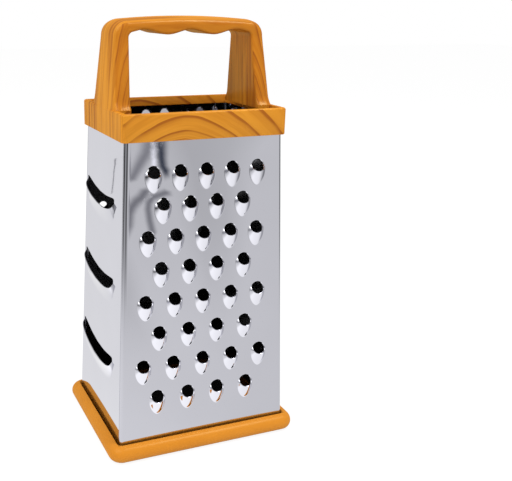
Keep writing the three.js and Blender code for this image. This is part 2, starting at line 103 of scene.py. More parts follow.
SLOTS = 3
SLOT_BELOW_COLLAR = 33.2
SLOT_ABOVE_RING = 42.1
SLOT_GROWTH = 0.016
SLOT_MARGIN = 8
SLOT_SHIFT = -5.7
SLOT_OPENING = 6.3
SLOT_ARC_RADIUS = 85
SLOT_RAMP = 9
SLOT_LIFT = 2.2
SLOT_EDGE = 0.4
SLOT_BLUNTNESS = 0.35
SLOT_SWEEP = 1.5
SLOT_SIDES = 96

# Sizes of the mouldings
RING_FLOOR = 3.8
RING_HEIGHT = 9.6
RING_OVERHANG = 6.1
RING_GROOVE = 0.9
RING_GROOVE_DEPTH = 1.9
RING_LIP = 0.4
RING_FLANGE = 2
RING_FLANGE_HEIGHT = 10.8

COLLAR_GRIP = 9.4
COLLAR_RISE = 4.9
COLLAR_SIDE_WALL = 1.6
COLLAR_FACE_WALL = 1
COLLAR_LEDGE = 1
COLLAR_CORNER = 2.4
COLLAR_EDGE = 1.5
COLLAR_CHAMFER = 0.4
LEAST_RADIUS = 0.4

HANDLE_RISE = 46.4
LEG_LEAN = 2.6
LEG_SINK = 1.7
LEG_FOOT_THICKNESS = 10
LEG_TOP_THICKNESS = 9
LEG_FOOT_DEPTH = 38.5
BAR_DEPTH = 26
LEG_FLARE = 2
LEG_FLARE_HEIGHT = 5
SHOULDER_WIDTH = 8.5
SHOULDER_HEIGHT = 8.8
CROWN_BOW = 1.5
BAR_THICKNESS = 8.1
INNER_CORNER = 3
WAVE_HEIGHT = 2.5
WAVE_LENGTH = 25.9
OUTER_CROWN = 1
OUTER_ROUND = 3.6
INNER_ROUND = 1.5
LEAST_FLAT = 0.3
LEG_WALL = 2.2
POCKET_SHORT = 4

# Heights that follow
FOOT_Z = RING_FLOOR + FIT
RIM_Z = FOOT_Z + BODY_HEIGHT
LEDGE_Z = RIM_Z + FIT
SKIRT_Z = LEDGE_Z - COLLAR_GRIP
COLLAR_Z = LEDGE_Z + COLLAR_RISE
CROWN_Z = COLLAR_Z + HANDLE_RISE


def half_width(z):
    """Half the steel body's outside width at height z: straight from foot to rim."""
    return (FOOT_WIDTH + (RIM_WIDTH - FOOT_WIDTH) * (z - FOOT_Z) / BODY_HEIGHT) / 2


def half_depth(z):
    """Half the steel body's outside depth at height z: straight from foot to rim."""
    return (FOOT_DEPTH + (RIM_DEPTH - FOOT_DEPTH) * (z - FOOT_Z) / BODY_HEIGHT) / 2


def belly(u, z, half):
    """How far a panel stands out of its plane: it is drawn in at the foot and at the rim, by a parabola
    across the panel, and both draws fade with the square of the height."""
    share = np.clip(np.abs(u) / half, 0, 1)
    low = np.clip(1 - (z - FOOT_Z) / FOOT_DRAW_HEIGHT, 0, 1)
    high = np.clip(1 - (RIM_Z - z) / RIM_DRAW_HEIGHT, 0, 1)
    return -(FOOT_DRAW * low**2 + RIM_DRAW * high**2) * (1 - share**2)


# Meshes from whole arrays

WELD_GRAIN = 1e-3
LEAST_LENGTH = 1e-12
CLOSE_POINTS = 1e-6
CREASE = math.radians(35)


def grid_faces(rows, columns, closed=False):
    """Quads between neighbouring rows of a grid, facing out where columns run right and rows climb."""
    row = np.arange(rows - 1)[:, None]
    column = np.arange(columns if closed else columns - 1)[None, :]
    after = (column + 1) % columns
    low = row * columns
    high = low + columns
    corners = [low + column, low + after, high + after, high + column]
    return np.stack(corners, axis=-1).reshape(-1, 4)


def triangles_of(faces):
    """Every quad as two triangles."""
    if faces.shape[1] == 3:
        return faces
    return np.concatenate([faces[:, [0, 1, 2]], faces[:, [0, 2, 3]]])


def welded(points, triangles):
    """Points that round to the same grain become one, and triangles that lose a corner go."""
    keys = np.round(points / WELD_GRAIN).astype(np.int64)
    _, first, place = np.unique(keys, axis=0, return_index=True, return_inverse=True)
    triangles = place.reshape(-1)[triangles]
    a, b, c = triangles.T
    return points[first], triangles[(a != b) & (b != c) & (a != c)]


def joined(parts):
    """Several (points, faces) as one welded set of points and triangles."""
    starts = np.cumsum([0] + [len(points) for points, _ in parts[:-1]])
    points = np.concatenate([points for points, _ in parts])
    triangles = np.concatenate([triangles_of(faces) + start for (_, faces), start in zip(parts, starts)])
    return welded(points, triangles)


def unit(vectors):
    """The vectors at length 1."""
    return vectors / np.maximum(np.linalg.norm(vectors, axis=1, keepdims=True), LEAST_LENGTH)


def point_normals(points, triangles):
    """Unit normals at the points, from their triangles' normals weighted by the corner's angle."""
    corners = points[triangles]
    flat = unit(np.cross(corners[:, 1] - corners[:, 0], corners[:, 2] - corners[:, 0]))
    normals = np.zeros_like(points)
    for k in range(3):
        one = unit(corners[:, (k + 1) % 3] - corners[:, k])
        two = unit(corners[:, (k + 2) % 3] - corners[:, k])
        angle = np.arccos(np.clip((one * two).sum(axis=1), -1, 1))
        np.add.at(normals, triangles[:, k], flat * angle[:, None])
    return unit(normals)


def thickened(points, triangles, thickness):
    """A skin made solid: the same skin moved in along its normals, and a rim along every open edge."""
    inner = points - thickness * point_normals(points, triangles)
    count = len(points)
    edges = np.concatenate([triangles[:, [0, 1]], triangles[:, [1, 2]], triangles[:, [2, 0]]])
    forward = edges[:, 0] * count + edges[:, 1]
    backward = edges[:, 1] * count + edges[:, 0]
    rim = edges[~np.isin(forward, backward)]
    start, end = rim.T
    band = np.stack([end, start, start + count, end + count], axis=1)
    faces = np.concatenate([triangles, triangles[:, ::-1] + count, triangles_of(band)])
    return np.concatenate([points, inner]), faces


def new_piece(name, points, triangles, material, sheet=False):
    """A mesh object at the origin from points in millimetres, smooth but for edges sharper than the crease.
    The second half of a sheet's points is its inside, kept as the attribute inside."""
    mesh = bpy.data.meshes.new(name)
    mesh.vertices.add(len(points))
    mesh.vertices.foreach_set("co", (points * MM).astype(np.float32).ravel())
    mesh.loops.add(triangles.size)
    mesh.loops.foreach_set("vertex_index", triangles.astype(np.int32).ravel())
    mesh.polygons.add(len(triangles))
    mesh.polygons.foreach_set("loop_start", np.arange(0, triangles.size, 3, dtype=np.int32))
    mesh.update(calc_edges=True)
    if sheet:
        inside = (np.arange(len(points)) >= len(points) // 2).astype(np.float32)
        mesh.attributes.new("inside", "FLOAT", "POINT").data.foreach_set("value", inside)
    mesh.validate()
    mesh.shade_smooth()
    mesh.set_sharp_from_angle(angle=CREASE)
    mesh.materials.append(material)
    piece = bpy.data.objects.new(name, mesh)
    bpy.context.scene.collection.objects.link(piece)
    return piece


# Stamped steel panels: made facing -Y in u (right), z (up) and h (out of the sheet), then turned


def row_heights(count, below_collar, above_ring, growth):
    """Heights of rows whose pitch grows evenly, from under the collar to above the ring."""
    row = np.arange(count)
    reached = row * (1 + growth * (row - 1))
    top = SKIRT_Z - below_collar
    bottom = RING_HEIGHT + above_ring
    return top + (bottom - top) * reached / reached[-1]


def staggered(face, half_flat):
    """Places [u, z] on a face: full rows and rows one short take turns, and rows may stand to one side."""
    heights = row_heights(face["rows"], face["below_collar"], face["above_ring"], face["growth"])
    row = np.arange(face["rows"])
    down = row / (face["rows"] - 1)
    margin = face["top_margin"] + (face["bottom_margin"] - face["top_margin"]) * down
    pitch = 2 * (half_flat(heights) - margin) / (face["columns"] - 1)
    count = face["columns"] - row % 2
    column = np.arange(face["columns"])[None, :]
    shift = np.where(row == 0, face["top_shift"], face["row_shift"])
    u = (column - (count[:, None] - 1) / 2) * pitch[:, None] + shift[:, None]
    z = np.broadcast_to(heights[:, None], u.shape)
    kept = column < count[:, None]
    return np.stack([u[kept], z[kept]], axis=1)


def around(sides):
    """Angles round a ring, from the lowest point, anticlockwise seen from outside."""
    return 2 * np.pi * np.arange(sides) / sides - np.pi / 2


def placed(rings, places):
    """One stamping's rings copied to each place: an array of stampings, rings, sides and [u, z, h]."""
    offset = np.concatenate([places, np.zeros((len(places), 1))], axis=1)
    return rings[None] + offset[:, None, None, :]


def with_border(rings, width):
    """The rings with one more outside them, in the sheet, so that the flat round a stamping stays flat."""
    outline = rings[0]
    middle = outline.mean(axis=0)
    border = outline.copy()
    border[:, :2] += width * unit(outline[:, :2] - middle[:2])
    border[:, 2] = 0
    return np.concatenate([border[None], rings])


def tooth(face):
    """A shredding tooth. Round the hole, share runs from the outline in the sheet to the hole's edge. The
    upper half is a circle. The lower half is an ellipse whose edge is drawn out by lift * rise ** fullness,
    nearly straight in share once it has left the sheet."""
    share = np.array([0, 0.04, 0.1, 0.18, 0.28, 0.4, 0.53, 0.66, 0.79, 0.91, 1])[:, None]
    angle = around(face["sides"])[None, :]
    across = np.cos(angle)
    up = np.maximum(np.sin(angle), 0)
    down = np.maximum(-np.sin(angle), 0)
    spread = face["radius"] + face["edge"]
    outline = spread * up - face["length"] * down
    hole = face["radius"] * up - face["lip_drop"] * down
    rise = np.maximum(LIP_REACH - np.sin(angle), 0) / (1 + LIP_REACH)
    foot_width = spread + face["flank"] * rise**0.5 * np.abs(across)
    u = (foot_width + (face["radius"] - foot_width) * share) * across
    z = outline + (hole - outline) * share
    foot = 1 - np.exp(-share / (TOOTH_FOOT + TOOTH_FOOT_GROWTH * across**2))
    drawn = share * (1 + TOOTH_SWELL - TOOTH_SWELL * share) * foot
    h = face["lift"] * rise**TOOTH_FULLNESS * drawn - face["press"] * up * share
    return with_border(np.stack([u, z, h], axis=-1), TOOTH_BORDER)


def rasp_point(face):
    """A rasp point: a round foot that narrows evenly to a square hole and rises by a power of the same share,
    highest at the hole's four torn corners."""
    share = np.array([0, 0.25, 0.5, 0.75, 1])[:, None]
    angle = around(face["sides"])[None, :]
    square = 1 / (np.abs(np.cos(angle)) + np.abs(np.sin(angle)))
    reach = face["foot"] + (face["hole"] * square - face["foot"]) * share
    corner = np.abs(np.cos(2 * angle))
    h = face["lift"] * share**RASP_SWEEP * (1 - RASP_TEAR + RASP_TEAR * corner * share)
    return with_border(np.stack([reach * np.cos(angle), reach * np.sin(angle), h], axis=-1), SMALL_BORDER)


def slicing_slot(half):
    """A slicing slot: a blunt-ended band that follows the arc z = u * u / (2 * radius). share runs from the
    outline in the sheet to the slot's edge, and the lower edge rises along the ramp by a power of share."""
    share = np.linspace(0, 1, 9)[:, None]
    angle = around(SLOT_SIDES)[None, :]
    cosine = np.cos(angle)
    sine = np.sin(angle)
    across = np.sign(cosine) * np.abs(cosine) ** SLOT_BLUNTNESS
    up = np.maximum(sine, 0) ** SLOT_BLUNTNESS
    down = np.maximum(-sine, 0) ** SLOT_BLUNTNESS
    u = SLOT_SHIFT + (half + SLOT_EDGE * (1 - share)) * across
    middle = u * u / (2 * SLOT_ARC_RADIUS) - SLOT_OPENING / 2
    above = (SLOT_OPENING / 2 + SLOT_EDGE * (1 - share)) * up
    below = (SLOT_OPENING / 2 + SLOT_RAMP * (1 - share)) * down
    h = SLOT_LIFT * down * share**SLOT_SWEEP
    return with_border(np.stack([u, middle + above - below, h], axis=-1), TOOTH_BORDER)


def dimple():
    """A closed round dimple: h = lift * (1 - share * share), with share that of its radius."""
    share = np.array([1, 0.8, 0.55, 0.3, 0])[:, None]
    angle = around(DIMPLE_SIDES)[None, :]
    radius = DIMPLE_RADIUS * share
    h = DIMPLE_LIFT * (1 - share * share) * np.ones_like(angle)
    return with_border(np.stack([radius * np.cos(angle), radius * np.sin(angle), h], axis=-1), SMALL_BORDER)


def inside_loops(place, loops):
    """Which places lie inside any of the closed loops, by counting the edges to the right of each."""
    hit = np.zeros(len(place), dtype=bool)
    u, z = place[:, :1], place[:, 1:]
    for loop in loops:
        after = np.roll(loop, -1, axis=0)
        crosses = (loop[:, 1] > z) != (after[:, 1] > z)
        run, climb = (after - loop).T
        climb = np.where(climb == 0, 1, climb)
        beyond = u < loop[:, 0] + (z - loop[:, 1]) * run / climb
        hit |= (crosses & beyond).sum(axis=1) % 2 == 1
    return hit


def flat_between(half_flat, loops):
    """Triangles [u, z] of a tapered flat with holes along the loops, by a constrained triangulation of a
    lattice that is closer at the foot, the rim and the sides."""
    across = np.sin(np.linspace(-np.pi / 2, np.pi / 2, FLAT_COLUMNS))
    low = FOOT_Z + FOOT_DRAW_HEIGHT * np.linspace(0, 1, DRAW_ROWS)
    high = RIM_Z - RIM_DRAW_HEIGHT * np.linspace(1, 0, DRAW_ROWS)
    rows = np.concatenate([low, np.linspace(low[-1], high[0], FLAT_ROWS)[1:-1], high])
    foot = np.column_stack([across * half_flat(FOOT_Z), np.full(FLAT_COLUMNS, FOOT_Z)])
    rim = np.column_stack([across[::-1] * half_flat(RIM_Z), np.full(FLAT_COLUMNS, RIM_Z)])
    u = across[None, 1:-1] * half_flat(rows)[1:-1, None]
    lattice = np.stack([u, np.broadcast_to(rows[1:-1, None], u.shape)], axis=-1).reshape(-1, 2)
    lattice = lattice[~inside_loops(lattice, loops)]
    rings = [np.concatenate([foot, rim]), *loops]
    places = np.concatenate([*rings, lattice])
    starts = np.cumsum([0] + [len(ring) for ring in rings[:-1]])
    steps = [np.arange(len(ring)) for ring in rings]
    edges = [np.column_stack([step, np.roll(step, -1)]) + start for step, start in zip(steps, starts)]
    vectors = [Vector(place) for place in places.tolist()]
    made = delaunay_2d_cdt(vectors, np.concatenate(edges).tolist(), [], 1, CLOSE_POINTS)
    points = np.array(made[0])
    triangles = np.array(made[2])
    return points, triangles[~inside_loops(points[triangles].mean(axis=1), loops)]


def strip(path_foot, path_rim):
    """A ruled strip between a path at the foot and a path at the rim, both of [x, y]."""
    foot = np.column_stack([path_foot, np.full(len(path_foot), FOOT_Z)])
    rim = np.column_stack([path_rim, np.full(len(path_rim), RIM_Z)])
    return np.concatenate([foot, rim]), grid_faces(2, len(foot))


def bent_end(z):
    """Section of a corner at height z: a plain strip, a quarter turn, a step in behind the side panel and a
    straight flange."""
    corner = half_width(z)
    bend_end = half_depth(z) - BEND_RADIUS
    behind = corner - SHEET - FIT
    angle = np.linspace(0, np.pi / 2, BEND_STEPS + 1)
    x = corner - BEND_RADIUS + BEND_RADIUS * np.sin(angle)
    y = -bend_end - BEND_RADIUS * np.cos(angle)
    start = [[corner - BEND_RADIUS - FLAT_STRIP, -half_depth(z)]]
    end = [[behind, -bend_end + SEAM], [behind, -bend_end + SEAM + LAP]]
    return np.concatenate([start, np.column_stack([x, y]), end])


def stamped_sheet(half_flat, reach, stampings, ends):
    """A panel: its flat with holes, its stampings, which stand h out of the drawn plane
    y = -reach(z) - belly, and its bent ends."""

    def face_y(u, z):
        """The drawn plane."""
        return -reach(z) - belly(u, z, half_flat(z))

    loops = [ring[:, :2] for family in stampings for ring in family[:, 0]]
    places, triangles = flat_between(half_flat, loops)
    parts = [(np.column_stack([places[:, 0], face_y(*places.T), places[:, 1]]), triangles)]
    for family in stampings:
        count, rings, sides, _ = family.shape
        u, z, h = np.moveaxis(family, -1, 0)
        points = np.stack([u, face_y(u, z) - h, z], axis=-1).reshape(-1, 3)
        faces = grid_faces(rings, sides, closed=True)
        step = np.arange(count)[:, None, None] * rings * sides
        parts.append((points, (faces[None] + step).reshape(-1, 4)))
    parts.extend(ends)
    return thickened(*joined(parts), SHEET)


def bent_ends():
    """Strips for both bent corners of a front or back panel."""
    mirror = np.array([-1, 1])
    right_foot, right_rim = bent_end(FOOT_Z), bent_end(RIM_Z)
    left_foot, left_rim = (right_foot * mirror)[::-1], (right_rim * mirror)[::-1]
    return [strip(right_foot, right_rim), strip(left_foot, left_rim)]


def bent_flat(z):
    """Half the flat between the corner bends of a front or back panel."""
    return half_width(z) - BEND_RADIUS


def side_flat(z):
    """Half the flat of a side panel."""
    return half_depth(z) - BEND_RADIUS - SEAM


def snap_dimples():
    """The four dimples that hold a side panel in the mouldings."""
    heights = np.array([RIM_Z - DIMPLE_BELOW_RIM, FOOT_Z + DIMPLE_RADIUS + FIT])
    u = side_flat(heights) - DIMPLE_INSET
    places = np.concatenate([np.column_stack([side * u, heights]) for side in (-1, 1)])
    return placed(dimple(), places)


def toothed_panel(face):
    """A front or back panel with shredding teeth."""
    teeth = placed(tooth(face), staggered(face, bent_flat))
    return stamped_sheet(lambda z: bent_flat(z) - FLAT_STRIP, half_depth, [teeth], bent_ends())


def rasp_panel():
    """The fine side panel."""
    points = placed(rasp_point(FINE), staggered(FINE, side_flat))
    return stamped_sheet(side_flat, half_width, [points, snap_dimples()], [])


def slicing_panel():
    """The side panel with slicing slots."""
    heights = row_heights(SLOTS, SLOT_BELOW_COLLAR, SLOT_ABOVE_RING, SLOT_GROWTH)
    slots = [placed(slicing_slot(side_flat(z) - SLOT_MARGIN), np.array([[0, z]])) for z in heights]
    return stamped_sheet(side_flat, half_width, [np.concatenate(slots), snap_dimples()], [])


def turned(solid, quarters):
    """A solid turned about Z by quarter turns."""
    points, triangles = solid
    angle = quarters * np.pi / 2
    turn = np.array([[np.cos(angle), -np.sin(angle), 0], [np.sin(angle), np.cos(angle), 0], [0, 0, 1]])
    return points @ turn.T, triangles


# Mouldings

CORNER_STEPS = 12
RING_STEPS = 28
LIP_STEPS = 4
EDGE_STEPS = 8
OUTER_STEPS = 12
FLARE_STEPS = 8
LEG_STEPS = 12
SHOULDER_STEPS = 16
BAR_STEPS = 40


def rounded_loops(half_x, half_y, radius, z):
    """Rounded rectangles, one for each row of the arrays, anticlockwise seen from above."""
    half_x, half_y, z = (np.asarray(value, dtype=float)[:, None, None] for value in (half_x, half_y, z))
    radius = np.maximum(np.asarray(radius, dtype=float), LEAST_RADIUS)[:, None, None]
    corner = np.arange(4)[None, :, None]
    step = np.linspace(0, 1, CORNER_STEPS + 1)[None, None, :]
    angle = (corner - 1 + step) * np.pi / 2
    side_x = np.where(corner < 2, 1, -1)
    side_y = np.where((corner == 1) | (corner == 2), 1, -1)
    x = side_x * (half_x - radius) + radius * np.cos(angle)
    y = side_y * (half_y - radius) + radius * np.sin(angle)
    points = np.stack([x, y, z * np.ones_like(x)], axis=-1)
    return points.reshape(len(points), -1, 3)


def frame_through(loops):
    """A closed frame: a cycle of loops that climbs outside and comes down inside."""
    cycle = np.concatenate([loops, loops[:1]])
    return joined([(cycle.reshape(-1, 3), grid_faces(len(cycle), cycle.shape[1], closed=True))])


def ring_solid():
    """The bumper ring: a half-round outside, a groove and a channel for the steel, and an upright flange
    inside. Its section is carried round the body as a cycle of rounded rectangles."""
    half = RING_HEIGHT / 2
    width = min(half, RING_OVERHANG - RING_GROOVE)
    angle = np.linspace(-np.pi / 2, np.pi / 2, RING_STEPS + 1)
    offset = RING_OVERHANG - width + width * np.cos(angle)
    rise = half * (1 + np.sin(angle))
    lip = np.linspace(0, np.pi / 2, LIP_STEPS + 1)[1:]
    lip_offset = RING_GROOVE + 2 * RING_LIP * (1 - np.sin(lip))
    lip_rise = RING_HEIGHT - 2 * RING_LIP * (1 - np.cos(lip))
    groove_offset = [FIT, FIT]
    groove_rise = [RING_HEIGHT - RING_GROOVE_DEPTH, RING_FLOOR]
    offset = np.concatenate([offset, lip_offset, groove_offset])
    rise = np.concatenate([rise, lip_rise, groove_rise])
    outer = rounded_loops(
        half_width(rise) + offset, half_depth(rise) + offset, BEND_RADIUS + offset, rise)
    inset = np.array([0, 0, RING_LIP / 2, RING_LIP, RING_FLANGE, RING_FLANGE])
    drop = np.array([RING_FLOOR, RING_FLANGE_HEIGHT - RING_LIP, RING_FLANGE_HEIGHT - RING_LIP / 4,
                     RING_FLANGE_HEIGHT, RING_FLANGE_HEIGHT, 0])
    clear = SHEET + FIT
    inner = rounded_loops(half_width(drop) - 2 * clear - inset, half_depth(drop) - clear - inset,
                          np.full(len(drop), LEAST_RADIUS), drop)
    return frame_through(np.concatenate([outer, inner]))


COLLAR_X = half_width(SKIRT_Z) + FIT + COLLAR_SIDE_WALL
COLLAR_Y = half_depth(SKIRT_Z) + FIT + COLLAR_FACE_WALL


def collar_solid():
    """The collar: a skirt over the steel, a ledge that stops on its rim, and rounded upper edges, as a cycle
    of rounded rectangles."""
    inner_x = half_width(RIM_Z) + FIT - COLLAR_LEDGE
    inner_y = half_depth(RIM_Z) + FIT - COLLAR_LEDGE
    edge = min(COLLAR_EDGE, (COLLAR_Y - inner_y) / 2)
    angle = np.linspace(0, np.pi / 2, EDGE_STEPS + 1)
    inset = np.concatenate([[COLLAR_CHAMFER, COLLAR_CHAMFER / 3, 0], edge * (1 - np.cos(angle))])
    rise = np.concatenate([[SKIRT_Z, SKIRT_Z + COLLAR_CHAMFER / 3, SKIRT_Z + COLLAR_CHAMFER],
                           COLLAR_Z - edge * (1 - np.sin(angle))])
    outer = rounded_loops(COLLAR_X - inset, COLLAR_Y - inset, COLLAR_CORNER - inset, rise)
    lip = np.array([COLLAR_CHAMFER, COLLAR_CHAMFER / 3, 0, 0])
    fall = np.array([COLLAR_Z, COLLAR_Z - COLLAR_CHAMFER / 3, COLLAR_Z - COLLAR_CHAMFER, LEDGE_Z])
    mouth = rounded_loops(inner_x + lip, inner_y + lip, np.full(4, BEND_RADIUS), fall)
    low = np.array([LEDGE_Z, SKIRT_Z])
    skirt = rounded_loops(
        half_width(low) + FIT, half_depth(low) + FIT, np.full(2, BEND_RADIUS + FIT), low)
    return frame_through(np.concatenate([outer, mouth, skirt]))


SHOULDER_Z = CROWN_Z - CROWN_BOW - SHOULDER_HEIGHT
LEG_FOOT_Z = COLLAR_Z - LEG_SINK
LEG_TOP_X = COLLAR_X - LEG_LEAN
SHOULDER_X = LEG_TOP_X - SHOULDER_WIDTH
INNER_TOP_X = LEG_TOP_X - LEG_TOP_THICKNESS
INNER_CORNER_X = INNER_TOP_X - INNER_CORNER


def underside_z(x):
    """Height of the bar's underside: finger waves along the cosine of x."""
    return CROWN_Z - BAR_THICKNESS + WAVE_HEIGHT / 2 * np.cos(2 * np.pi * x / WAVE_LENGTH)


INNER_CORNER_Z = underside_z(INNER_CORNER_X) - INNER_CORNER


def leg_half_depth(z):
    """Half a leg's depth: straight from collar to shoulder, with a squared flare at the foot."""
    flare = np.clip(1 - np.maximum(z - COLLAR_Z, 0) / LEG_FLARE_HEIGHT, 0, 1)
    share = np.clip((z - COLLAR_Z) / (SHOULDER_Z - COLLAR_Z), 0, 1)
    return (LEG_FOOT_DEPTH + (BAR_DEPTH - LEG_FOOT_DEPTH) * share) / 2 + LEG_FLARE * flare * flare


def leg_outer_x(z):
    """A leg's outside: upright in the collar, then leaning in to the shoulder."""
    return COLLAR_X - LEG_LEAN * np.maximum(z - COLLAR_Z, 0) / (SHOULDER_Z - COLLAR_Z)


def leg_inner_x(z):
    """A leg's inside: straight from its foot to the inner corner."""
    foot = COLLAR_X - LEG_FOOT_THICKNESS
    return foot + (INNER_TOP_X - foot) * (z - LEG_FOOT_Z) / (INNER_CORNER_Z - LEG_FOOT_Z)


def half_arch():
    """Stations of the right half from the leg's foot to the middle of the bar, each with its inner x and z,
    its outer x and z and its half depth. The legs are straight, the corners are quarter ellipses, and the
    bar's top is a parabola."""
    flare = COLLAR_Z + LEG_FLARE_HEIGHT * np.linspace(0, 1, FLARE_STEPS + 1) ** 2
    straight = np.linspace(COLLAR_Z + LEG_FLARE_HEIGHT, INNER_CORNER_Z, LEG_STEPS + 1)[1:-1]
    z = np.concatenate([[LEG_FOOT_Z], flare, straight])
    leg = np.stack([leg_inner_x(z), z, leg_outer_x(z), z, leg_half_depth(z)], axis=1)
    angle = np.linspace(0, np.pi / 2, SHOULDER_STEPS + 1)
    inner_z = INNER_CORNER_Z + INNER_CORNER * np.sin(angle)
    outer_z = SHOULDER_Z + SHOULDER_HEIGHT * np.sin(angle)
    depth = leg_half_depth(INNER_CORNER_Z + (SHOULDER_Z - INNER_CORNER_Z) * np.sin(angle))
    corner = np.stack([INNER_CORNER_X + INNER_CORNER * np.cos(angle), inner_z,
                       SHOULDER_X + SHOULDER_WIDTH * np.cos(angle), outer_z, depth], axis=1)
    share = np.linspace(1, 0, BAR_STEPS + 1)[1:]
    inner_x = INNER_CORNER_X * share
    bar = np.stack([inner_x, underside_z(inner_x), SHOULDER_X * share, CROWN_Z - CROWN_BOW * share**2,
                    np.full(len(share), BAR_DEPTH / 2)], axis=1)
    return np.concatenate([leg, corner, bar])


def arch_outline(half, thickness):
    """Sections of the arch as [y, w]: flat inside at w = 0, rounded edges, and an outside that is crowned by
    the square of y."""
    low = np.linspace(-np.pi / 2, 0, EDGE_STEPS + 1)[None, :]
    high = np.linspace(0, np.pi / 2, OUTER_STEPS + 1)[None, :]
    half, thickness = half[:, None], thickness[:, None]
    outer = np.minimum(OUTER_ROUND, thickness - OUTER_CROWN - INNER_ROUND - LEAST_FLAT)
    low_y = half - INNER_ROUND + INNER_ROUND * np.cos(low)
    low_w = INNER_ROUND + INNER_ROUND * np.sin(low) + 0 * half
    high_y = half - outer + outer * np.cos(high)
    high_w = thickness - OUTER_CROWN - outer + outer * np.sin(high)
    top_y = (half - outer) * np.linspace(1, 0, EDGE_STEPS + 1)[None, 1:]
    rest = (top_y / (half - outer)) ** 2
    top_w = thickness - OUTER_CROWN * rest
    back_y = np.concatenate([low_y, high_y, top_y], axis=1)
    back_w = np.concatenate([low_w, high_w, top_w], axis=1)
    back = np.stack([back_y, back_w], axis=-1)
    front = back * np.array([-1, 1])
    return np.concatenate([front, back[:, -2::-1]], axis=1)


def arch_solid():
    """The arch: sections along its stations, hollowed from below by a pocket in each leg."""
    right = half_arch()
    left = right[-2::-1] * np.array([-1, 1, -1, 1, 1])
    stations = np.concatenate([right, left])
    inner, outer, half = stations[:, :2], stations[:, 2:4], stations[:, 4]
    across = outer - inner
    thickness = np.linalg.norm(across, axis=1)
    across /= thickness[:, None]
    outline = arch_outline(half, thickness)
    place = inner[:, None, :] + across[:, None, :] * outline[..., 1:]
    sections = np.stack([place[..., 0], outline[..., 0], place[..., 1]], axis=-1)

    z = np.array([INNER_CORNER_Z - POCKET_SHORT, COLLAR_Z, LEG_FOOT_Z])
    near, far = leg_inner_x(z) + LEG_WALL, leg_outer_x(z) - OUTER_CROWN - LEG_WALL
    depth = leg_half_depth(z) - LEG_WALL - INNER_ROUND
    foot = sections[0]
    x = np.clip(foot[None, :, 0], near[:, None], far[:, None])
    y = np.clip(foot[None, :, 1], -depth[:, None], depth[:, None])
    pocket = np.stack([x, y, z[:, None] * np.ones_like(x)], axis=-1)
    cap = np.broadcast_to(pocket[:1].mean(axis=1, keepdims=True), pocket[:1].shape)
    right_pocket = np.concatenate([cap, pocket])
    left_pocket = (right_pocket * np.array([-1, 1, 1]))[::-1]
    rows = np.concatenate([right_pocket, sections, left_pocket])
    return joined([(rows.reshape(-1, 3), grid_faces(len(rows), rows.shape[1], closed=True))])


def fused(name, first, second, material):
    """Two solids as one piece without hidden walls: the result of an exact boolean union."""
    base = new_piece(name, *first, material)
    other = new_piece(name + "_joined", *second, material)
    union = base.modifiers.new("union", "BOOLEAN")
    union.operation = "UNION"
    union.solver = "EXACT"
    union.object = other
    bpy.context.view_layer.update()
    mesh = bpy.data.meshes.new_from_object(base.evaluated_get(bpy.context.evaluated_depsgraph_get()))
    base.modifiers.clear()
    base.data = mesh
    mesh.name = name
    mesh.set_sharp_from_angle(angle=CREASE)
    bpy.data.objects.remove(other)
    return base


# Materials


class Wire:
    """A socket's value. Arithmetic on wires adds Math nodes, and node() adds any other kind."""

    def __init__(self, tree, socket=None):
        self.tree = tree
        self.socket = socket

    def node(self, kind, settings=None, inputs=None, output=0):
        """One output of a new node with these settings and inputs."""
        made = self.tree.nodes.new(kind)
        for key, value in (settings or {}).items():
            if key == "stops":
                ramp = made.color_ramp
                while len(ramp.elements) < len(value):
                    ramp.elements.new(0.5)
                for element, (place, colour) in zip(ramp.elements, value):
                    element.position = place
                    element.color = colour
            else:
                setattr(made, key, value)
        for key, value in (inputs or {}).items():
            if isinstance(value, Wire):
                self.tree.links.new(value.socket, made.inputs[key])
            else:
                made.inputs[key].default_value = value
        return Wire(self.tree, made.outputs[output])

    def math(self, operation, *values):
        """A Math node of these values."""
        return self.node("ShaderNodeMath", {"operation": operation}, dict(enumerate(values)))

    def __add__(self, other):
        return self.math("ADD", self, other)

    __radd__ = __add__

    def __sub__(self, other):
        return self.math("SUBTRACT", self, other)

    def __rsub__(self, other):
        return self.math("SUBTRACT", other, self)

    def __mul__(self, other):
        return self.math("MULTIPLY", self, other)

    __rmul__ = __mul__

    def __truediv__(self, other):
        return self.math("DIVIDE", self, other)

    def __rtruediv__(self, other):
        return self.math("DIVIDE", other, self)

    def __pow__(self, other):
        return self.math("POWER", self, other)

    def at_least(self, low):
        """Never below low."""
        return self.math("MAXIMUM", self, low)

    def at_most(self, high):
        """Never above high."""
        return self.math("MINIMUM", self, high)

    def size(self):
        """Without its sign."""
        return self.math("ABSOLUTE", self)

    def smooth(self, low, high):
        """0 below low, 1 above high and a smooth step between."""
        inputs = {"Value": self, "From Min": low, "From Max": high}
        return self.node("ShaderNodeMapRange", {"interpolation_type": "SMOOTHSTEP"}, inputs)


def new_material(name):
    """A node material, its tree as a Wire, its Principled shader and Object coordinates in millimetres."""
    material = bpy.data.materials.new(name)
    material.use_nodes = True
    tree = material.node_tree
    shader = tree.nodes["Principled BSDF"]
    start = Wire(tree)
    place = start.node("ShaderNodeTexCoord", output="Object")
    scaled = start.node("ShaderNodeVectorMath", {"operation": "SCALE"}, {0: place, "Scale": 1 / MM})
    return material, start, shader, scaled


def link(wire, shader, name):
    """Feed a shader's socket."""
    wire.tree.links.new(wire.socket, shader.inputs[name])


def axis(start, place, k):
    """One coordinate of a place."""
    return start.node("ShaderNodeSeparateXYZ", None, {0: place}, output=k)


def glow_material(name):
    """An empty node material without a shader, its tree as a Wire, and its output node."""
    material = bpy.data.materials.new(name)
    material.use_nodes = True
    tree = material.node_tree
    tree.nodes.remove(tree.nodes["Principled BSDF"])
    return material, Wire(tree), tree.nodes["Material Output"]


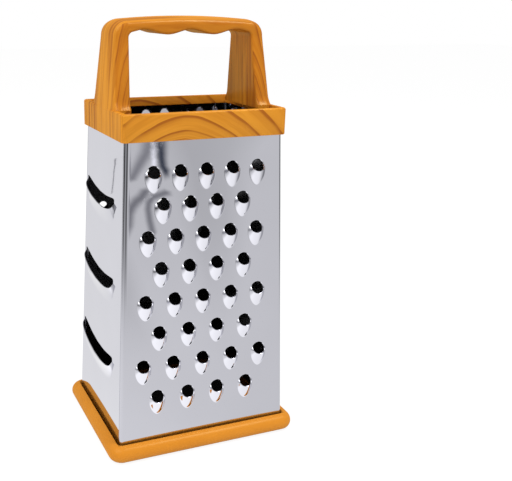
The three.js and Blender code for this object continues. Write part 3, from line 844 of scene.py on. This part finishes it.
def noise(start, place, scale, detail=2.0, stretch=(1, 1, 1)):
    """Soft noise, about 0 to 1, of a given number of waves per millimetre, stretched per axis."""
    moved = start.node("ShaderNodeVectorMath", {"operation": "MULTIPLY"}, {0: place, 1: stretch})
    return start.node("ShaderNodeTexNoise", None, {"Vector": moved, "Scale": scale, "Detail": detail})


def mixed(start, factor, one, two):
    """Colour one where the factor is 0 and colour two where it is 1."""
    inputs = {0: factor, 6: one, 7: two}
    return start.node("ShaderNodeMix", {"data_type": "RGBA"}, inputs, output=2)


def glossed(start, shader, roughness, relief):
    """Roughness, a fine relief, and a thin warm gloss over a shader. The gloss grows with the square of the
    grazing angle, but less than a smooth plastic's does."""
    bump = start.node("ShaderNodeBump", None, {"Strength": 0.1, "Distance": 0.1 * MM, "Height": relief})
    link(roughness, shader, "Roughness")
    link(bump, shader, "Normal")
    shader.inputs["Specular IOR Level"].default_value = 0
    inputs = {"Color": (1, 0.93, 0.5, 1), "Roughness": roughness, "Normal": bump}
    gloss = start.node("ShaderNodeBsdfGlossy", None, inputs)
    grazing = start.node("ShaderNodeLayerWeight", None, {"Blend": 0.5}, output="Facing")
    share = 0.02 + 0.1 * grazing * grazing
    plain = Wire(start.tree, shader.outputs[0])
    blend = start.node("ShaderNodeMixShader", None, {0: share, 1: plain, 2: gloss})
    link(blend, start.tree.nodes["Material Output"], "Surface")


SHADED_DULL_BELOW = 148  # the sheet's inside is dull, with painted shade, up to here
BRIGHT_ABOVE = 164


def bright_steel():
    """Polished stainless sheet: a mirror with faint clouds in the polish and slow waves. Inside, below the
    mouth, the sheet is left dull, and its colour is darkened there as painted shade."""
    material, start, shader, place = new_material("bright_steel")
    shader.inputs["Metallic"].default_value = 1
    inside = start.node("ShaderNodeAttribute", {"attribute_name": "inside"}, output="Fac")
    # Painted shade: inside, below the mouth, the colour is darkened, and the sheet is rougher there as well
    dull_and_shaded = inside * (1 - axis(start, place, 2).smooth(SHADED_DULL_BELOW, BRIGHT_ABOVE))
    cloud = noise(start, place, 0.03, 3)
    grain = noise(start, place, 0.9, 2, (1, 1, 0.04))
    polished = mixed(start, cloud, (0.58, 0.58, 0.63, 1), (0.62, 0.62, 0.675, 1))
    link(mixed(start, dull_and_shaded, polished, (0.08, 0.08, 0.085, 1)), shader, "Base Color")
    link(0.012 + 0.012 * cloud + 0.01 * grain + 0.3 * dull_and_shaded, shader, "Roughness")
    wave = noise(start, place, 0.018, 1)
    bump = start.node("ShaderNodeBump", None, {"Strength": 0.2, "Distance": 0.4 * MM, "Height": wave})
    link(bump, shader, "Normal")
    return material


COLLAR_ARCH_X = -12.9
COLLAR_SPREAD = 0.0475
COLLAR_POWER = 1.65
COLLAR_WARP = 3.2
COLLAR_FIRST_LINE = 1.05
COLLAR_LINE_STEP = 1.3
HANDLE_ARCH_X = 34
HANDLE_SPREAD = 0.72
HANDLE_POWER = 1.66
HANDLE_WARP = 9
HANDLE_FIRST_LINE = 0.35
HANDLE_LINE_STEP = 1.35
LEAST_LEVEL = 0.01
PRINT_CHANGE = 0.4


def growth_lines(ring):
    """Growth-ring lines: each whole step of the ring number ends in a soft band with a sharp edge."""
    share = ring.math("FRACT", ring)
    band = 0.3 * share.smooth(0.3, 0.95) + 0.7 * share.smooth(0.76, 0.95)
    return band * (1 - share.smooth(0.965, 1.0))


def wood_print():
    """Glossy plastic printed like pine: upright stripes on the sides that run on over the bar's top, nested
    arches on the collar's faces, and on the handle's faces arches that spring from the collar and follow the
    bar. An arch's ring number is the square root of its level, in steps."""
    material, start, shader, place = new_material("wood_print")
    x = axis(start, place, 0)
    z = axis(start, place, 2)
    normal = start.node("ShaderNodeNewGeometry", output="Normal")
    face = axis(start, normal, 1).size().smooth(0.66, 0.74)
    warp = noise(start, place, 0.035, 2) - 0.5

    # The collar's arches: their level grows with height and with distance from their middle
    aside = (x - COLLAR_ARCH_X).size()
    level = z - SKIRT_Z + COLLAR_SPREAD * aside ** COLLAR_POWER + COLLAR_WARP * warp
    collar_ring = (level.at_least(LEAST_LEVEL) ** 0.5 - COLLAR_FIRST_LINE) / COLLAR_LINE_STEP
    # The handle's arches: their level grows with height and with distance out from the legs' inner edges
    out = (x.size() - HANDLE_ARCH_X).at_least(0)
    rise = z - COLLAR_Z + HANDLE_SPREAD * out ** HANDLE_POWER + 3 * x.smooth(0, 20) + HANDLE_WARP * warp
    handle_ring = (rise.at_least(LEAST_LEVEL) ** 0.5 - HANDLE_FIRST_LINE) / HANDLE_LINE_STEP
    above = z.smooth(COLLAR_Z - PRINT_CHANGE, COLLAR_Z + PRINT_CHANGE)
    face_ring = collar_ring + above * (handle_ring - collar_ring)
    # The sides' stripes, broad and narrow
    broad = noise(start, place, 0.16, 2, (0.05, 1, 0.05)).smooth(0.46, 0.62)
    narrow = noise(start, place, 0.42, 2, (0.04, 1, 0.04)).smooth(0.5, 0.64)

    face_lines = growth_lines(face_ring) * (0.5 + 0.7 * noise(start, place, 0.06, 1).smooth(0.3, 0.6))
    side_lines = 0.4 * broad + 0.45 * narrow
    across = start.node("ShaderNodeCombineXYZ", None, {0: 4 * face_ring, 1: 0.03 * z, 2: 0.03 * x})
    face_fibre = start.node("ShaderNodeTexNoise", None, {"Vector": across, "Scale": 1.0, "Detail": 3.0})
    side_fibre = noise(start, place, 0.9, 3, (0.03, 1, 0.03))
    lines = (side_lines + face * (face_lines - side_lines)).at_most(0.85)
    fibre = side_fibre + face * (face_fibre - side_fibre)
    patch = noise(start, place, 0.04, 2)
    pale = mixed(start, patch, (0.78, 0.29, 0.02, 1), (0.88, 0.36, 0.034, 1))
    # On the handle above the collar, the front and back faces are made darker all over
    streak = fibre.smooth(0.42, 0.7) * (0.55 - 0.2 * face) + 0.6 * above * face
    streaked = mixed(start, streak, pale, (0.56, 0.165, 0.008, 1))
    brown = mixed(start, patch, (0.34, 0.075, 0.006, 1), (0.43, 0.115, 0.012, 1))
    link(mixed(start, lines, streaked, brown), shader, "Base Color")
    glossed(start, shader, 0.2 + 0.1 * patch, fibre)
    return material


def bumper_plastic():
    """Plain orange plastic, slightly mottled, with the soft gloss of a moulding. Its colour darkens with
    painted shade inside the steel, in the groove beside it and towards the underside."""
    material, start, shader, place = new_material("bumper_plastic")
    x, y, z = (axis(start, place, k) for k in range(3))
    patch = noise(start, place, 0.05, 3)
    fine = noise(start, place, 1.5, 2)
    # Painted shade: the colour darkens inside the steel, in the groove beside it and towards the underside
    out = (x.size() - FOOT_WIDTH / 2).at_least(y.size() - FOOT_DEPTH / 2)
    inside = 1 - out.smooth(-0.6, -0.2)
    beside = 0.45 - 0.45 * out.smooth(0.7, 1.3)
    under = 0.4 - 0.4 * z.smooth(0, 5)
    shade = 0.95 * inside.at_least(beside).at_least(under)
    orange = mixed(start, patch, (0.72, 0.25, 0.018, 1), (0.82, 0.31, 0.03, 1))
    link(mixed(start, shade, orange, (0.05, 0.014, 0.002, 1)), shader, "Base Color")
    glossed(start, shader, 0.24 + 0.1 * patch + 0.05 * fine, fine)
    return material


# Pieces

steel = bright_steel()
print_finish = wood_print()
bumper = bumper_plastic()


def new_sheet(name, panel, quarters):
    """A steel panel turned to its side of the body."""
    return new_piece(name, *turned(panel, quarters), steel, sheet=True)


pieces = [
    (new_sheet("coarse_sheet", toothed_panel(COARSE), 0), "coarse_panel", "steel"),
    (new_sheet("fine_sheet", rasp_panel(), 1), "fine_panel", "steel"),
    (new_sheet("medium_sheet", toothed_panel(MEDIUM), 2), "medium_panel", "steel"),
    (new_sheet("slicing_sheet", slicing_panel(), 3), "slicing_panel", "steel"),
    (new_piece("bumper_ring", *ring_solid(), bumper), "base_ring", "bumper"),
    (fused("arch_handle", collar_solid(), arch_solid(), print_finish), "handle", "wood_print"),
]
for piece, node, slot in pieces:
    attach(piece, "root")
    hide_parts(node)

# Camera, floor and light

CAMERA_PLACE = (-163.39, -391.28, 240.61)
CAMERA_AZIMUTH = -21.811
CAMERA_ELEVATION = 16.448
CAMERA_ROLL = 0.559
CAMERA_LENS = 53.787
CAMERA_SHIFT = (0.1701, -0.0177)


def add_camera():
    """The photograph's camera: turned to its azimuth and elevation, rolled a little, its middle shifted."""
    azimuth = math.radians(CAMERA_AZIMUTH)
    elevation = math.radians(CAMERA_ELEVATION)
    roll = math.radians(CAMERA_ROLL)
    level = math.cos(elevation)
    back = Vector((math.sin(azimuth) * level, -math.cos(azimuth) * level, math.sin(elevation)))
    right = (-back).cross(Vector((0, 0, 1))).normalized()
    up = right.cross(-back)
    rolled_right = right * math.cos(roll) + up * math.sin(roll)
    rolled_up = up * math.cos(roll) - right * math.sin(roll)
    data = bpy.data.cameras.new("camera")
    data.sensor_width = 36
    data.lens = CAMERA_LENS
    data.shift_x, data.shift_y = CAMERA_SHIFT
    data.clip_start = 0.01
    camera = bpy.data.objects.new("camera", data)
    turn = Matrix((rolled_right, rolled_up, back)).transposed().to_4x4()
    camera.matrix_world = Matrix.Translation(Vector(CAMERA_PLACE) * MM) @ turn
    bpy.context.scene.collection.objects.link(camera)
    bpy.context.scene.camera = camera


# How far the room dims with distance, by bearing in degrees from the front towards the right
ROOM_DIMNESS = [
    (-180, 0.0), (-140, 0.0), (-128, 0.95), (-78, 0.95), (-70, 0.55), (-42, 0.55), (-34, 0.88), (7, 0.88),
    (12, 0.12), (20, 0.12), (22.5, 0.26), (25, 0.24), (28, 0.06), (45, 0.06), (62, 0.75), (130, 0.75),
    (150, 0.1), (180, 0.0),
]

# The floor, in metres: half its side, how far the paper reaches, and where the painted shade under the body
# ends
FLOOR_REACH = 4.0
PAPER_REACH = 0.4
UNDER_X = (0.047, 0.05)
UNDER_Y = (0.037, 0.04)
FLOOR_WHITE = 0.9
FLOOR_GLOW_SHARE = 0.82


def light_path(start):
    """1 for rays from the camera and 1 for mirrored rays, as two wires."""
    path = start.tree.nodes.new("ShaderNodeLightPath")
    seen, glossy, passed = (
        Wire(start.tree, path.outputs[kind])
        for kind in ("Is Camera Ray", "Is Glossy Ray", "Is Transmission Ray"))
    return seen, (glossy + passed).at_most(1)


def floor_material():
    """Pale floor: white to the camera but for a faint shadow, and painted dark under the body as shade. In
    reflections it glows as painted light: a sheet of white paper lit from the left, bright where it is seen
    from above, which gives way to a dimmer room as the fourth power of the distance, by as much as the
    bearing says."""
    material, start, output = glow_material("floor")
    seen, mirrored = light_path(start)
    place = start.node("ShaderNodeNewGeometry", output="Position")
    x = axis(start, place, 0)
    y = axis(start, place, 1)
    far = (x * x + y * y + 1e-6) ** 0.5
    bearing = x.math("ARCTAN2", x, -1 * y) / (2 * math.pi) + 0.5
    stops = [(at / 360 + 0.5, (level, level, level, 1)) for at, level in ROOM_DIMNESS]
    dim = start.node("ShaderNodeValToRGB", {"stops": stops}, {"Fac": bearing})
    steep = 1 - start.node("ShaderNodeLayerWeight", None, {"Blend": 0.5}, output="Facing")
    spread = 1 - 1 / (1 + (far / PAPER_REACH) ** 4)
    # Painted light: in reflections the floor glows brighter on the left and where it is seen from above
    lit = (0.93 - 0.1 * x / far) * (1 + 0.5 * steep.smooth(0.46, 0.7))
    glow = lit * (1 - dim * spread)
    # Painted shade: the floor under the body is made dark
    under = (1 - x.size().smooth(*UNDER_X)) * (1 - y.size().smooth(*UNDER_Y))
    share = (FLOOR_GLOW_SHARE * seen + mirrored) * (1 - under * seen)
    strength = (FLOOR_WHITE * seen + mirrored * glow * (1 - under)) / (share + 1e-4)
    white = start.node("ShaderNodeEmission", None, {"Color": (1, 1, 1, 1), "Strength": strength})
    pale = mixed(start, under, (0.9, 0.9, 0.9, 1), (0.02, 0.02, 0.02, 1))
    paper = start.node("ShaderNodeBsdfDiffuse", None, {"Color": pale})
    link(start.node("ShaderNodeMixShader", None, {0: share, 1: paper, 2: white}), output, "Surface")
    return material


def add_floor():
    """A square floor that the object stands on."""
    mesh = bpy.data.meshes.new("floor")
    corners = [(x * FLOOR_REACH, y * FLOOR_REACH, 0) for x, y in ((-1, -1), (1, -1), (1, 1), (-1, 1))]
    mesh.from_pydata(corners, [], [(0, 1, 2, 3)])
    mesh.materials.append(floor_material())
    floor = bpy.data.objects.new("floor", mesh)
    bpy.context.scene.collection.objects.link(floor)


def add_world():
    """White behind the object, softer in reflections and softer still as a light."""
    world = bpy.data.worlds.new("studio")
    bpy.context.scene.world = world
    world.use_nodes = True
    background = world.node_tree.nodes["Background"]
    seen, mirrored = light_path(Wire(world.node_tree))
    link(0.55 + 0.45 * seen + 0.2 * mirrored, background, "Strength")
    background.inputs["Color"].default_value = (1, 1, 1, 1)


# A lamp stand in the room with its soft shadows, seen only in the steel; the shadows are painted, as dim
# strips that glow. Each strip has its path, as offsets to the left and heights, its width and its colour.
# The rod stands behind on the left.
STAND_PLACE = (140, -500)
STAND_STRIPS = {
    "stand_edge": (
        [(-19, 146), (-17, 140), (-11.4, 122.7), (-8.3, 111), (-6, 99), (-5, 94)],
        8, (1.3, 1.3, 1.36)),
    "stand_post": (
        [(-24, 150), (-21.8, 143.4), (-18, 125), (-16, 112.7), (-15.5, 101), (-18, 93), (-24, 77)],
        17, (0.06, 0.07, 0.1)),
    "stand_leg": (
        [(-16.5, 142), (-14, 137.2), (-10, 129.8), (-1.3, 113.7), (10.6, 96.1), (20.5, 80.5), (25, 72)],
        17, (0.34, 0.34, 0.36)),
    # Painted shadows of the stand on the floor, as dim glowing strips
    "left_stand_shadow": (
        [(2, 72), (6.5, 63.4), (11.5, 56.5), (17.5, 52), (22.5, 46), (26.2, 37.9), (28.2, 23.6), (29, 1)],
        20, (0.28, 0.28, 0.3)),
    "middle_stand_shadow": (
        [(-27, 64), (-17, 62), (-2, 57), (3, 50), (4, 43), (2.5, 29), (-0.8, 14), (-1.5, 4)],
        15, (0.3, 0.3, 0.32)),
}
ROD_PLACE = (-249, 605)
ROD_PATH = [(0.2, 0), (0, 4), (-2.2, 46), (-0.9, 54), (-0.6, 57)]
ROD_WIDTH = 2.4
ROD_COLOUR = (0.1, 0.1, 0.12)


def add_strip(name, place, path, width, colour):
    """A narrow upright strip along a path of [offset to the left, height], seen only in reflections. It faces
    the object, and its cover falls evenly from the path to its edges and ends."""
    path = np.array(path, dtype=float)
    run = np.gradient(path, axis=0)
    across = unit(np.column_stack([-run[:, 1], run[:, 0]])) * width / 2
    flat = path[:, None, :] + np.array([-1, 0, 1])[None, :, None] * across[:, None, :]
    left = np.array([place[1], -place[0]]) / math.hypot(*place)
    points = np.concatenate([np.array(place) + flat[..., :1] * left, flat[..., 1:]], axis=-1)
    cover = np.zeros(flat.shape[:2], dtype=np.float32)
    cover[1:-1, 1] = 1
    mesh = bpy.data.meshes.new(name)
    mesh.from_pydata((points * MM).reshape(-1, 3).tolist(), [], grid_faces(len(path), 3).tolist())
    mesh.attributes.new("cover", "FLOAT", "POINT").data.foreach_set("value", cover.ravel())
    material, start, output = glow_material(name)
    share = start.node("ShaderNodeAttribute", {"attribute_name": "cover"}, output="Fac").smooth(0, 1)
    clear = start.node("ShaderNodeBsdfTransparent")
    glow = start.node("ShaderNodeEmission", None, {"Color": (*colour, 1)})
    link(start.node("ShaderNodeMixShader", None, {0: share, 1: clear, 2: glow}), output, "Surface")
    mesh.materials.append(material)
    strip_object = bpy.data.objects.new(name, mesh)
    strip_object.visible_camera = False
    strip_object.visible_diffuse = False
    strip_object.visible_shadow = False
    bpy.context.scene.collection.objects.link(strip_object)


LAMP_AIM = Vector((0, 0, 0.12))


def add_lamp(name, place, size, power):
    """A square soft box that looks at the middle of the object."""
    data = bpy.data.lights.new(name, "AREA")
    data.size = size
    data.energy = power
    lamp = bpy.data.objects.new(name, data)
    aim = LAMP_AIM - Vector(place)
    lamp.matrix_world = Matrix.Translation(place) @ aim.to_track_quat("-Z", "Y").to_matrix().to_4x4()
    bpy.context.scene.collection.objects.link(lamp)


add_camera()
add_floor()
for strip_name, strip_form in STAND_STRIPS.items():
    add_strip(strip_name, STAND_PLACE, *strip_form)
add_strip("rod", ROD_PLACE, ROD_PATH, ROD_WIDTH, ROD_COLOUR)
add_world()
add_lamp("left_box", (-0.8, -0.35, 1.2), 1.0, 8)
add_lamp("edge_box", (0.5, -0.35, 1.25), 0.36, 5.5)
bpy.context.scene.view_settings.view_transform = "Standard"
